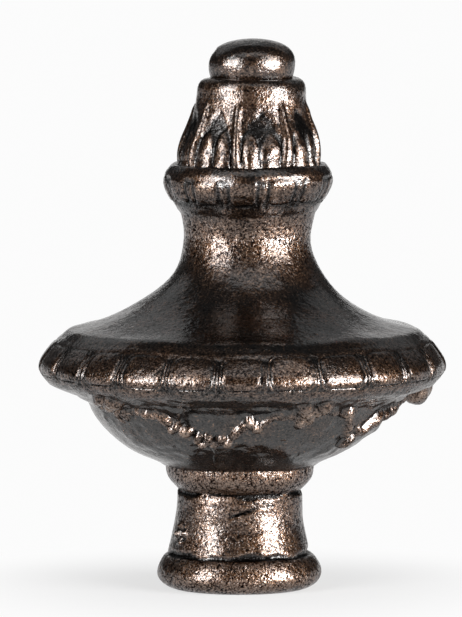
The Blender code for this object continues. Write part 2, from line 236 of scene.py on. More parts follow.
# Beads and leaves on a garland: degrees from its left knot, height, half length, half width,
# tilt in degrees and relief
DEEP_LEAVES = [
    (-1.0, 18.55, 0.42, 0.7, 0, 0.5), (3.2, 18.45, 0.8, 0.58, -15, 0.62),
    (5.0, 17.4, 0.36, 0.3, 0, 0.4), (8.6, 17.5, 0.36, 0.32, 0, 0.42), (12.0, 17.5, 0.62, 0.36, -8, 0.5),
    (15.2, 17.35, 0.36, 0.3, -30, 0.42), (18.6, 17.0, 0.9, 0.38, -48, 0.46),
    (21.2, 16.05, 0.4, 0.32, 20, 0.5), (23.8, 16.35, 0.4, 0.3, 30, 0.5),
    (27.0, 15.95, 0.55, 0.5, 0, 0.66), (31.0, 15.25, 0.55, 0.3, 60, 0.5),
    (32.8, 14.7, 0.6, 0.26, 35, 0.55), (35.4, 15.3, 0.4, 0.26, -50, 0.48), (37.4, 14.65, 0.42, 0.32, 0, 0.5),
    (40.2, 15.15, 0.5, 0.3, 45, 0.46), (43.1, 14.9, 0.55, 0.36, 55, 0.6), (46.6, 15.75, 0.8, 0.34, 52, 0.42),
    (49.8, 16.45, 0.6, 0.3, 50, 0.42), (51.4, 16.95, 0.28, 0.5, 20, 0.55), (53.5, 16.5, 0.28, 0.5, 10, 0.55),
    (55.5, 16.35, 0.28, 0.42, -10, 0.5), (58.2, 17.1, 0.8, 0.26, 42, 0.46), (61.0, 17.6, 0.5, 0.3, 30, 0.5),
    (63.4, 17.45, 0.36, 0.32, 0, 0.42), (66.4, 17.6, 0.46, 0.36, 0, 0.46), (69.0, 18.5, 0.55, 0.5, 20, 0.55),
]
STEEP_LEAVES = [
    (3.8, 18.5, 0.55, 0.5, 0, 0.55), (6.5, 17.85, 0.5, 0.36, -10, 0.42), (11.5, 17.6, 0.5, 0.36, -10, 0.42),
    (17.6, 17.5, 0.62, 0.6, 0, 0.72), (20.6, 16.55, 0.3, 0.62, 15, 0.46),
    (22.6, 15.85, 0.3, 0.55, 25, 0.46), (24.4, 15.2, 0.3, 0.4, 0, 0.4),
    (27.2, 14.6, 0.8, 0.3, 52, 0.52), (30.5, 15.3, 0.34, 0.5, 30, 0.4),
    (34.5, 15.6, 0.9, 0.28, 50, 0.42), (37.2, 15.75, 0.6, 0.24, 45, 0.42),
    (39.6, 16.25, 0.85, 0.45, 40, 0.52),
    (45.5, 16.6, 0.75, 0.36, 25, 0.45), (50.5, 16.8, 0.3, 0.52, 15, 0.46),
    (54.2, 16.9, 0.34, 0.55, 15, 0.52), (57.5, 17.1, 0.3, 0.52, 15, 0.46),
    (61.5, 17.4, 0.36, 0.55, 15, 0.5), (65.0, 17.6, 0.4, 0.55, 15, 0.5), (69.5, 18.45, 0.62, 0.5, 0, 0.55),
]

# Two thin lines below the garland in front, in the same terms
VEINS = [(36.4, 13.9, 1.2, 0.12, 96, 0.1), (34.8, 12.7, 0.9, 0.1, 80, 0.08)]

# The directions out of the bowl are averaged over this many steps of its path
BOWL_SMOOTHING = 41

# Columns of points around each kind of stretch
SOCKET_COLUMNS = 60
PLAIN_COLUMNS = 144
BOWL_COLUMNS = 560
RIM_COLUMNS = 30 * RIM_EGGS
RING_COLUMNS = 24 * RING_EGGS
BELL_COLUMNS = 40 * BELL_RIBS
BUTTON_COLUMNS = 104

# Edges sharper than this aren't shaded smooth
SHARP_ANGLE = 62

# The picture's height in pixels, and the camera: how far it is from the point that it looks at, how many
# degrees above it, where that point is, how much of its plane a pixel shows, and the sensor's width
PICTURE_HEIGHT = 617
CAMERA_DISTANCE = 640
CAMERA_ELEVATION = 5.1
MIDDLE_X, MIDDLE_Z = -0.776, 25.84
MM_PER_PIXEL = 0.0924
SENSOR = 36


def mix(low, high, share):
    return low + (high - low) * share


def ease(value, low, high):
    """Runs smoothly from 0 at low to 1 at high."""
    share = np.clip((value - low) / (high - low), 0, 1)
    return share * share * (3 - 2 * share)


def dome(value):
    """Half an ellipse: 1 at 0, falling to 0 at 1 and at -1."""
    return np.sqrt(np.clip(1 - value * value, 0, 1))


def path(points, steps=600):
    """Evenly spaced (radius, height) points along the Bezier curve with these control points."""
    share = np.linspace(0, 1, 4 * steps + 1)[:, None]
    left = [np.array(point, float) + 0 * share for point in points]
    while len(left) > 1:
        left = [mix(a, b, share) for a, b in zip(left, left[1:])]
    return evenly(left[0], steps)


def evenly(curve, steps=600):
    """The same curve, as points that lie evenly along it."""
    lengths = np.append(0, np.cumsum(np.hypot(*np.diff(curve, axis=0).T)))
    goals = np.linspace(0, lengths[-1], steps + 1)
    return np.column_stack([np.interp(goals, lengths, curve[:, 0]), np.interp(goals, lengths, curve[:, 1])])


def length_of(curve):
    return np.hypot(*np.diff(curve, axis=0).T).sum()


def on_path(curve, shares, smooth=1):
    """The points at shares of a path's length, and the directions out of the solid there."""
    steps = np.linspace(0, 1, len(curve))
    along = np.gradient(curve, axis=0)
    if smooth > 1:
        kernel = np.ones(smooth) / smooth
        padded = np.pad(along, ((smooth // 2, smooth // 2), (0, 0)), mode="edge")
        along = np.column_stack([np.convolve(padded[:, axis], kernel, "valid") for axis in (0, 1)])
        along = along[:len(curve)]
    out = np.column_stack([along[:, 1], -along[:, 0]])
    out /= np.hypot(*out.T)[:, None]
    points = np.column_stack([np.interp(shares, steps, curve[:, axis]) for axis in (0, 1)])
    normals = np.column_stack([np.interp(shares, steps, out[:, axis]) for axis in (0, 1)])
    return points, normals


def foot_ring():
    seat = FOOT_RING_RADIUS - SEAT_STEP
    return path([
        (seat, 0),
        (1.07 * FOOT_RING_RADIUS, 0.18 * FOOT_RING_HEIGHT),
        (1.02 * FOOT_RING_RADIUS, 0.65 * FOOT_RING_HEIGHT),
        (STEM_FOOT_RADIUS + 0.1 * SEAT_STEP, FOOT_RING_HEIGHT),
    ])


def stem():
    return path([
        (STEM_FOOT_RADIUS, FOOT_RING_HEIGHT + 0.02 * STEM_HEIGHT),
        (STEM_RADIUS, FOOT_RING_HEIGHT + 0.47 * STEM_HEIGHT),
        (STEM_RADIUS, FOOT_RING_HEIGHT + 0.7 * STEM_HEIGHT),
        (STEM_RADIUS, COLLAR_LEVEL),
    ])


def collar():
    return path([
        (COLLAR_RADIUS - COLLAR_STEP, COLLAR_LEVEL + 0.05 * COLLAR_HEIGHT),
        (COLLAR_RADIUS, COLLAR_LEVEL + 0.45 * COLLAR_HEIGHT),
        (COLLAR_RADIUS - 0.05 * COLLAR_STEP, COLLAR_LEVEL + 0.6 * COLLAR_HEIGHT),
        (COLLAR_RADIUS, BOWL_LEVEL),
    ])


def bowl():
    return path([
        (BOWL_FOOT_RADIUS, BOWL_LEVEL),
        (1.11 * BOWL_FOOT_RADIUS, BOWL_LEVEL + 0.15 * BOWL_HEIGHT),
        (1.15 * BOWL_RADIUS, BOWL_LEVEL + 0.34 * BOWL_HEIGHT),
        (0.955 * BOWL_RADIUS, GROOVE_LEVEL + 0.11 * BOWL_HEIGHT),
        (BOWL_RADIUS, GROOVE_LEVEL - 0.22 * BOWL_HEIGHT),
        (RIM_RADIUS - GROOVE_STEP, GROOVE_LEVEL),
    ])


def lip():
    return path([
        (RIM_RADIUS - GROOVE_STEP, GROOVE_LEVEL),
        (RIM_RADIUS - 0.2 * GROOVE_STEP, GROOVE_LEVEL + 0.7 * LIP_HEIGHT),
        (RIM_RADIUS - 0.3 * GROOVE_STEP, GROOVE_LEVEL + 0.6 * LIP_HEIGHT),
        (RIM_RADIUS - 0.16 * GROOVE_STEP, BAND_LEVEL),
    ])


def band():
    return path([
        (RIM_RADIUS - 0.16 * GROOVE_STEP, BAND_LEVEL),
        (RIM_RADIUS + 0.35 * BAND_TOP_STEP, BAND_LEVEL + 0.29 * BAND_HEIGHT),
        (RIM_RADIUS - 0.07 * BAND_TOP_STEP, BAND_LEVEL + 0.58 * BAND_HEIGHT),
        (RIM_RADIUS - BAND_TOP_STEP, SHOULDER_LEVEL),
    ])


def shoulder():
    return path([
        (RIM_RADIUS - 1.05 * BAND_TOP_STEP, SHOULDER_LEVEL + 0.05 * SHOULDER_HEIGHT),
        (RIM_RADIUS - 0.8 * SHOULDER_STEP, FLARE_LEVEL - 0.15 * SHOULDER_HEIGHT),
        (RIM_RADIUS - SHOULDER_STEP, FLARE_LEVEL),
    ])


def flare():
    edge = RIM_RADIUS - SHOULDER_STEP
    return path([
        (edge, FLARE_LEVEL),
        (mix(NECK_RADIUS, edge, 0.37), FLARE_LEVEL + 0.15 * FLARE_HEIGHT),
        (NECK_RADIUS, FLARE_LEVEL + 0.57 * FLARE_HEIGHT),
        (NECK_RADIUS, NECK_LEVEL),
    ])


def neck():
    return path([
        (NECK_RADIUS, NECK_LEVEL),
        (NECK_RADIUS, NECK_LEVEL + 0.47 * NECK_HEIGHT),
        (RING_FOOT_RADIUS, RING_LEVEL),
    ])


def ring():
    return path([
        (RING_FOOT_RADIUS, RING_LEVEL),
        (1.035 * RING_RADIUS, RING_LEVEL + 0.5 * RING_HEIGHT),
        (1.045 * RING_RADIUS, RING_LEVEL + 0.75 * RING_HEIGHT),
        (RING_RADIUS - RING_TOP_STEP, BELL_LEVEL),
    ])


def bell():
    return path([
        (BELL_FOOT_RADIUS, BELL_LEVEL),
        (1.08 * BELL_FOOT_RADIUS, BELL_LEVEL + 0.37 * BELL_HEIGHT),
        (BELL_TOP_RADIUS, BELL_LEVEL + 0.54 * BELL_HEIGHT),
        (BELL_TOP_RADIUS, BELL_LIP_LEVEL),
    ])


def bell_lip():
    return path([
        (BELL_TOP_RADIUS, BELL_LIP_LEVEL),
        (BELL_TOP_RADIUS, BUTTON_LEVEL + 0.1 * BELL_LIP_HEIGHT),
        (BUTTON_NECK_RADIUS, BUTTON_LEVEL),
    ])


def button():
    return path([
        (BUTTON_NECK_RADIUS, BUTTON_LEVEL),
        (1.09 * BUTTON_RADIUS, BUTTON_LEVEL + 0.5 * BUTTON_HEIGHT),
        (BUTTON_RADIUS, BUTTON_LEVEL + 0.94 * BUTTON_HEIGHT),
        (0.1 * BUTTON_RADIUS, HEIGHT),
    ])


def across_copy(azimuth, first, copies):
    """How far an azimuth is past the nearest copy of a pattern, as a share of the pitch."""
    return (((azimuth - first) * copies / 360) + 0.5) % 1 - 0.5


def rough(azimuth, radius, height, grain, seed):
    """Smooth noise from about -1 to 1 on the surface, with lumps of about the grain's size."""
    angle = np.radians(azimuth)
    x, y, z = (radius * np.sin(angle) / grain, -radius * np.cos(angle) / grain, height / grain)
    x, y, z = np.broadcast_arrays(x, y, z)
    values = [noise.noise(Vector(p)) for p in zip(x.ravel(), y.ravel() + 17.3 * seed, z.ravel())]
    return np.array(values).reshape(x.shape) * 2


def egg(aside, up, half_width, half_height):
    """How far a point is outside an upright oval with nearly straight sides, in millimetres."""
    corner = 0.5 * min(half_width, half_height)
    out_x, out_y = np.abs(aside) - half_width + corner, np.abs(up) - half_height + corner
    inside = np.minimum(np.maximum(out_x, out_y), 0)
    return np.hypot(np.maximum(out_x, 0), np.maximum(out_y, 0)) + inside - corner


def egg_band(across, up, pitch, half_width, half_height):
    """Flush, worn eggs in thin borders with a dart between two, as a height from 0 to 1."""
    outside = egg(across * pitch, up, half_width, half_height)
    body = ease(outside, 0.06, -0.22)
    border = 0.8 * dome(np.clip((outside - 0.2) / 0.11, -1, 1))
    dart = 0.75 * dome(np.clip((0.5 - np.abs(across)) * pitch / 0.13, -1, 1)) * ease(up, half_height, 0)
    return np.maximum(np.maximum(body, border), dart)


def rim_relief(azimuth, share, points):
    """Worn eggs around the rim, a little unevenly spaced, between its two edges."""
    warp = 0.9 * np.sin(np.radians(3 * azimuth + 40)) + 0.5 * np.sin(np.radians(7 * azimuth))
    across = across_copy(azimuth + warp, 0, RIM_EGGS)
    whole = length_of(band())
    pitch = TURN * RIM_RADIUS / RIM_EGGS
    raised = egg_band(across, (share - 0.5) * whole, pitch, RIM_EGG_HALF_WIDTH, RIM_EGG_HALF_HEIGHT * whole)
    edge = np.maximum(1 - ease(share, 0.02, 0.1), 0.9 * ease(share, 0.78, 0.95))
    return RIM_EGG_RELIEF * (np.maximum(raised, edge) - 1)


def ring_relief(azimuth, share, points):
    """Worn eggs around the ring, between its two edges."""
    across = across_copy(azimuth, RING_EGG_FIRST, RING_EGGS)
    whole = length_of(ring())
    pitch = TURN * RING_RADIUS / RING_EGGS
    half_height = RING_EGG_HALF_HEIGHT * whole
    raised = egg_band(across, (share - 0.52) * whole, pitch, RING_EGG_HALF_WIDTH, half_height)
    edge = np.maximum(1 - ease(share, 0.05, 0.35), ease(share, 0.64, 0.82))
    return RING_EGG_RELIEF * (np.maximum(raised, edge) - 1)


def bell_relief(azimuth, share, points):
    """Tall ribs, with two short round lobes and a sunk arch above them in each bay."""
    radius, height = points[:, 0:1], points[:, 1:2]
    rough_sunk = 1 + 0.35 * rough(azimuth, radius, height, 1.1, 7)
    rough_lobe = 1 + 0.3 * rough(azimuth, radius, height, 1.3, 8)
    warp = 2.2 * np.sin(np.radians(2 * azimuth + 65)) + 1.6 * np.sin(np.radians(5 * azimuth) + 4 * share)
    bay = across_copy(azimuth + warp, BELL_RIB_FIRST, BELL_RIBS) % 1
    from_rib = np.minimum(bay, 1 - bay)
    rib = BELL_RIB_RELIEF * ease(from_rib, 0.12, 0.02) * ease(share, 0.92, 0.72)
    arch = ARCH_HALF_WIDTH * dome(np.clip((share - ARCH_FOOT) / ARCH_HEIGHT, 0, 1))
    recess = -BELL_RECESS_DEPTH * rough_sunk * ease(arch - np.abs(bay - 0.5), 0, 0.26)
    recess = recess * ease(share, 0.26, 0.44)
    across = (np.abs(bay - 0.5) - LOBE_ASIDE) / LOBE_HALF_WIDTH
    up = np.maximum(share - LOBE_SHOULDER, 0) / LOBE_HEIGHT
    lobe = BELL_LOBE_RELIEF * dome(np.clip(np.hypot(across, up), 0, 1))
    between = -BAY_DEPTH * ease(share, 0.5, 0.3) + BELL_FOOT_RELIEF * ease(share, 0.06, 0.02)
    return rib + (recess + rough_lobe * lobe + between) * ease(from_rib, 0.05, 0.14)


def leaves_on(azimuth, along, level_along, radius, leaves, first):
    """How far the tallest of these beads and leaves stands up at each point."""
    tallest = np.zeros_like(azimuth + along)
    for degrees, level, half_length, half_width, tilt, relief in leaves:
        aside = np.radians((azimuth - first - degrees + 180) % 360 - 180) * radius
        up = along - level_along(level)
        turn = math.radians(tilt)
        length = (aside * math.cos(turn) + up * math.sin(turn)) / half_length
        width = (up * math.cos(turn) - aside * math.sin(turn)) / half_width
        vein = 1 - 0.3 * ease(np.abs(width), 0.22, 0) * (half_length > 1.6 * half_width)
        bump = dome(np.clip(np.hypot(length, width) / LEAF_SIZE, 0, 1))
        tallest = np.maximum(tallest, LEAF_RELIEF * relief * bump * vein)
    return tallest


def knot(size, drop):
    """A knot's lumps, in the same terms as the beads and leaves."""
    level = KNOT_LEVEL - drop
    return [
        (-1.2, level, 0.8 * size * KNOT_RADIUS, 0.65 * size * KNOT_RADIUS, 0, 1.1 * size),
        (2.4, level + 0.1, 0.6 * size * KNOT_RADIUS, 0.7 * size * KNOT_RADIUS, 0, 1.0 * size),
        (-1.5, level - 1.0, 0.5, 0.8, 10, 0.5),
        (2.0, level - 0.9, 0.45, 0.7, -15, 0.45),
    ]


def ornament_left(azimuth):
    """0 where the casting is worn smooth, 1 where its ornament is whole."""
    from_worn = np.abs((azimuth - WORN_AZIMUTH + 180) % 360 - 180)
    return ease(from_worn, 0.5 * WORN_ANGLE, WORN_ANGLE)


def bowl_relief(azimuth, share, points):
    """Garlands of beads and leaves between knots, on a bowl that is left rough around them."""
    curve = np.vstack([bowl(), lip()[1:]])
    whole = length_of(curve)
    lengths = np.append(0, np.cumsum(np.hypot(*np.diff(curve, axis=0).T)))
    rising = np.maximum.accumulate(curve[:, 1] + 1e-9 * lengths)
    along = share * whole
    radius, height = points[:, 0:1], points[:, 1:2]

    def level_along(level):
        return np.interp(level, rising, lengths)

    raised = np.zeros_like(azimuth + along)
    for turn in range(round(360 / GARLAND_SPAN)):
        first = FIRST_KNOT + GARLAND_SPAN * turn
        line, leaves = (DEEP_LINE, DEEP_LEAVES) if turn % 2 == 0 else (STEEP_LINE, STEEP_LEAVES)
        degrees = (azimuth - first + 180) % 360 - 180
        centre = level_along(np.interp(degrees, *np.array(line).T))
        slope = np.gradient(centre[0]) / np.gradient(np.radians(azimuth[0])) / BOWL_RADIUS
        across = (along - centre) / np.hypot(1, np.clip(slope, -1.5, 1.5))
        rope = ROPE_RELIEF * dome(np.clip(across / (ROPE_WIDTH / 2), -1, 1))
        rope *= (degrees > 0) & (degrees < GARLAND_SPAN)
        rope *= ease(np.abs(slope), 0.9, 0.5)
        raised = np.maximum(raised, rope)
        raised = np.maximum(raised, leaves_on(azimuth, along, level_along, radius, leaves, first))
        leaves = knot(*KNOTS[turn])
        raised = np.maximum(raised, leaves_on(azimuth, along, level_along, radius, leaves, first))
    raised = np.maximum(raised, leaves_on(azimuth, along, level_along, radius, VEINS, FIRST_KNOT))
    fine = 0.04 * rough(azimuth, radius, height, 0.9, 1)
    ground = fine + 0.06 * rough(azimuth, radius, 2 * height, 1.8, 2)
    return ornament_left(azimuth) * (raised + ground * ease(share, 0.1, 0.35))


def thread_relief(azimuth, share, points):
    """The thread's grooves, cut outward from the bore, which run out at the blind end."""
    windings = points[:, 1:2] / THREAD_PITCH - azimuth / 360
    tooth = 2 * np.abs(windings % 1 - 0.5)
    return -(THREAD_ROOT - THREAD_CREST) * ease(tooth, 0.15, 0.85) * ease(share, 0.0, 0.06)


def stem_relief(azimuth, share, points):
    """A scuff on the left of the stem, a crack across its front and the ragged grooves at its ends."""
    radius, height = points[:, 0:1], points[:, 1:2]
    aside = np.radians(azimuth - SCUFF_AZIMUTH) * radius
    from_scuff = np.hypot(aside / SCUFF_HALF_WIDTH, (height - SCUFF_LEVEL) / SCUFF_HALF_HEIGHT)
    scuff = SCUFF_RELIEF + SCUFF_ROUGHNESS * rough(azimuth, radius, height, 0.5, 6)
    line = CRACK_LEVEL + CRACK_RISE * (azimuth - CRACK_AZIMUTH) / CRACK_ANGLE
    crack = ease(np.abs(height - line), 0.16, 0.03) * ease(np.abs(azimuth - CRACK_MIDDLE), 13, 8)
    ragged = 0.16 * np.sin(np.radians(5 * azimuth + 30)) + 0.1 * np.sin(np.radians(13 * azimuth))
    low = ease(height - ragged, FOOT_RING_HEIGHT + 0.38, FOOT_RING_HEIGHT + 0.1)
    high = ease(height + ragged, COLLAR_LEVEL - 0.32, COLLAR_LEVEL - 0.05)
    return ease(from_scuff, 1, 0.6) * scuff - CRACK_DEPTH * crack - GROOVE_DEPTH * (low + high)


def foot_relief(azimuth, share, points):
    """The groove where the foot's ring meets the stem."""
    return -GROOVE_DEPTH * ease(share, 0.93, 1.0) + 0 * azimuth


def plain_relief(azimuth, share, points):
    return np.zeros_like(azimuth + share)


def shares(count, low=0.0, high=1.0):
    return np.linspace(low, high, count)


def turns(columns, eggs=0, first=0):
    """Azimuths all round, which lie closer together between two eggs of a moulding."""
    even = np.arange(columns) / columns * max(eggs, 1)
    closer = even + (0.7 / TURN * np.sin(TURN * even) if eggs else 0)
    return first - 180 + 360 * closer / max(eggs, 1)


def stretches():
    """Each stretch, from the socket's blind end to the button: path, shares, azimuths and relief."""
    seat = FOOT_RING_RADIUS - SEAT_STEP
    bore = np.array([(THREAD_ROOT, SOCKET_DEPTH), (THREAD_ROOT, SOCKET_CHAMFER)])
    seat_ring = np.array([(THREAD_ROOT + SOCKET_CHAMFER, 0), (seat, 0)])
    side = np.vstack([bowl(), lip()[1:]])
    side_shares = np.concatenate([shares(9, 0, 0.24), shares(52, 0.26, 0.96)])
    band_shares = np.concatenate([shares(12, 0.02, 0.24), shares(7, 0.3, 0.7), shares(11, 0.76, 0.99)])
    return [
        (evenly(bore), shares(48), turns(SOCKET_COLUMNS), thread_relief),
        (evenly(seat_ring), shares(3), turns(SOCKET_COLUMNS), plain_relief),
        (foot_ring(), shares(20, 0.04, 1), turns(PLAIN_COLUMNS), foot_relief),
        (stem(), shares(34), turns(PLAIN_COLUMNS), stem_relief),
        (collar(), shares(12), turns(PLAIN_COLUMNS), plain_relief),
        (evenly(side), side_shares, turns(BOWL_COLUMNS), bowl_relief),
        (band(), band_shares, turns(RIM_COLUMNS, RIM_EGGS), rim_relief),
        (shoulder(), shares(6), turns(PLAIN_COLUMNS), plain_relief),
        (flare(), shares(20, 0.03, 1), turns(PLAIN_COLUMNS), plain_relief),
        (neck(), shares(8, 0.1, 0.9), turns(PLAIN_COLUMNS), plain_relief),
        (ring(), shares(31, 0, 1), turns(RING_COLUMNS, RING_EGGS, RING_EGG_FIRST), ring_relief),
        (bell(), shares(40), turns(BELL_COLUMNS), bell_relief),
        (bell_lip(), shares(6, 0.2, 1), turns(BUTTON_COLUMNS), plain_relief),
        (button(), shares(16, 0.06, 1), turns(BUTTON_COLUMNS), plain_relief),
    ]


def grid(curve, rows, azimuths, relief):
    """One stretch's points as (azimuth, radius, height), how rubbed they are, how far black patina and
    painted shade fill them, and how much bright metal and painted highlight they show.
    """
    azimuth = azimuths[None, :]
    points, normals = on_path(curve, rows, BOWL_SMOOTHING if relief is bowl_relief else 1)
    raised = relief(azimuth, rows[:, None], points)
    radius = points[:, 0:1] + raised * normals[:, 0:1]
    height = points[:, 1:2] + raised * normals[:, 1:2]
    rubbed = np.interp(points[:, 1:2], *np.array(RUBBED).T)
    rubbed = np.maximum(rubbed, RAISED_RUBBED * ease(raised, *RAISED_RELIEF))
    if relief is bowl_relief:
        rubbed = rubbed * mix(WORN_RUBBED, 1, ornament_left(azimuth))
    # Bright metal on raised beads and leaves: worn through, and partly a painted highlight
    ends, gone = DARK_RELIEF
    bared_and_glinting = ease(raised, *BARE_AND_GLINT_RELIEF) * ease(raised, gone, ends)
    # Sunk relief is darkened by its depth: black patina there, and painted shade
    return azimuth + 0 * radius, radius, height, rubbed, ease(raised, *SHADED_HOLLOW_RELIEF), bared_and_glinting


def uneven(azimuth, radius, height):
    """The rough casting's own waviness, which leaves the underside flat and the top at its height."""
    free = ease(height, 0.1, 1.5) * ease(height, HEIGHT, HEIGHT - 0.6) * (radius > THREAD_ROOT + 0.3)
    swell = SWELL * rough(azimuth, radius, height, SWELL_GRAIN, 3)
    swell = swell + RIPPLE * rough(azimuth, radius, height, RIPPLE_GRAIN, 4)
    lift = LIFT * rough(azimuth, radius, height, LIFT_GRAIN, 5)
    at_rim = ease(radius, *RIM_EDGE)
    out = swell * (1 - 0.6 * at_rim) - RIM_DRAWN_IN * at_rim
    return radius + free * out, height + free * lift * (1 - at_rim)


def place(azimuth, radius, height):
    """Points of the leaning casting: azimuth 0 is the front, -Y, and it grows towards +X."""
    angle = np.radians(azimuth)
    lean = LEAN * np.maximum(height - BOWL_LEVEL, 0)
    lean = lean + FLARE_SHIFT * ease(np.abs(height - FLARE_SHIFT_LEVEL), FLARE_SHIFT_REACH, 0)
    return np.stack([radius * np.sin(angle) + lean, -radius * np.cos(angle), height], -1) * MM


def stitch(lower, upper, starts):
    """Triangles between two rows of this many points each, whose first points have these numbers."""
    low, high, faces = 0, 0, []
    while low < lower or high < upper:
        behind = low < lower and (low + 1) / lower <= (high + 1) / upper
        a = starts[0] + low % lower
        b = starts[1] + high % upper
        if behind or high == upper:
            low += 1
            faces.append((a, starts[0] + low % lower, b))
        else:
            high += 1
            faces.append((a, starts[1] + high % upper, b))
    return faces


def casting():
    """The casting's mesh: its stretches joined into one closed surface, from the socket to the button."""
    points, hollow_patina_and_shade, rubbed, bared_and_glinting, faces = [], [], [], [], []
    start, before = 0, None
    for curve, rows, azimuths, relief in stretches():
        columns = len(azimuths)
        azimuth, radius, height, worn, sunk, bare_and_glint = grid(curve, rows, azimuths, relief)
        radius, height = uneven(azimuth, radius, height)
        points.append(place(azimuth, radius, height).reshape(-1, 3))
        hollow_patina_and_shade.append(sunk.ravel())
        rubbed.append(worn.ravel())
        bared_and_glinting.append(bare_and_glint.ravel())
        if before:
            faces += stitch(before[0], columns, (before[1], start))
        for row in range(len(rows) - 1):
            base = start + row * columns
            for column in range(columns):
                after = (column + 1) % columns
                faces.append((base + column, base + after, base + columns + after, base + columns + column))
        before = (columns, start + (len(rows) - 1) * columns)
        start += len(rows) * columns
    blind_end, top = start, start + 1
    points.append(place(np.zeros(2), np.zeros(2), np.array([SOCKET_DEPTH + SOCKET_CONE_HEIGHT, HEIGHT])))
    hollow_patina_and_shade.append(np.zeros(2))
    bared_and_glinting.append(np.zeros(2))
    rubbed.append(np.full(2, RUBBED[-1][1]))
    for column in range(SOCKET_COLUMNS):
        faces.append((blind_end, (column + 1) % SOCKET_COLUMNS, column))
    for column in range(BUTTON_COLUMNS):
        faces.append((top, before[1] + column, before[1] + (column + 1) % BUTTON_COLUMNS))
    mesh = bpy.data.meshes.new("finial_casting")
    mesh.from_pydata(np.concatenate(points), [], faces)
    for name, values in (("hollow_patina_and_shade", hollow_patina_and_shade), ("rubbed", rubbed), ("bared_and_glinting", bared_and_glinting)):
        layer = mesh.attributes.new(name, "FLOAT", "POINT")
        layer.data.foreach_set("value", np.concatenate(values).astype(np.float32))
    mesh.validate()
    mesh.shade_smooth()
    mesh.set_sharp_from_angle(angle=math.radians(SHARP_ANGLE))
    return bpy.data.objects.new("finial_casting", mesh)


def node(tree, kind, links=(), **values):
    """A new shader node, with its settings and inputs from values and links of (input, source socket)."""
    made = tree.nodes.new(kind)
    for name, value in values.items():
        if hasattr(made, name):
            setattr(made, name, value)
        else:
            made.inputs[name].default_value = value
    for name, source in links:
        tree.links.new(source, made.inputs[name])
    return made


def ramp(tree, source, stops):
    """A colour ramp through (place, grey) stops."""
    made = node(tree, "ShaderNodeValToRGB", [("Fac", source)])
    elements = made.color_ramp.elements
    while len(elements) < len(stops):
        elements.new(0.5)
    for element, (position, grey) in zip(elements, stops):
        element.position = position
        element.color = (grey, grey, grey, 1)
    return made.outputs["Color"]


def blend(tree, share, low, high):
    """A mix of two colours, each a socket or plain numbers."""
    made = node(tree, "ShaderNodeMix", data_type="RGBA")
    tree.links.new(share, made.inputs[0])
    for socket, colour in ((made.inputs[6], low), (made.inputs[7], high)):
        if isinstance(colour, bpy.types.NodeSocket):
            tree.links.new(colour, socket)
        else:
            socket.default_value = (*colour, 1)
    return made.outputs[2]


def maths(tree, operation, *values, clamp=False):
    """A sum or the like of values, each a socket or a plain number."""
    made = node(tree, "ShaderNodeMath", operation=operation, use_clamp=clamp)
    for index, value in enumerate(values):
        if isinstance(value, bpy.types.NodeSocket):
            tree.links.new(value, made.inputs[index])
        else:
            made.inputs[index].default_value = value
    return made.outputs[0]


def lumps(tree, where, scale, detail, roughness):
    """Noise from 0 to 1, with this many lumps to the metre."""
    sizes = {"Scale": scale, "Detail": detail, "Roughness": roughness}
    return node(tree, "ShaderNodeTexNoise", [("Vector", where)], **sizes).outputs[0]


def attribute(tree, name):
    return node(tree, "ShaderNodeAttribute", attribute_name=name).outputs["Fac"]


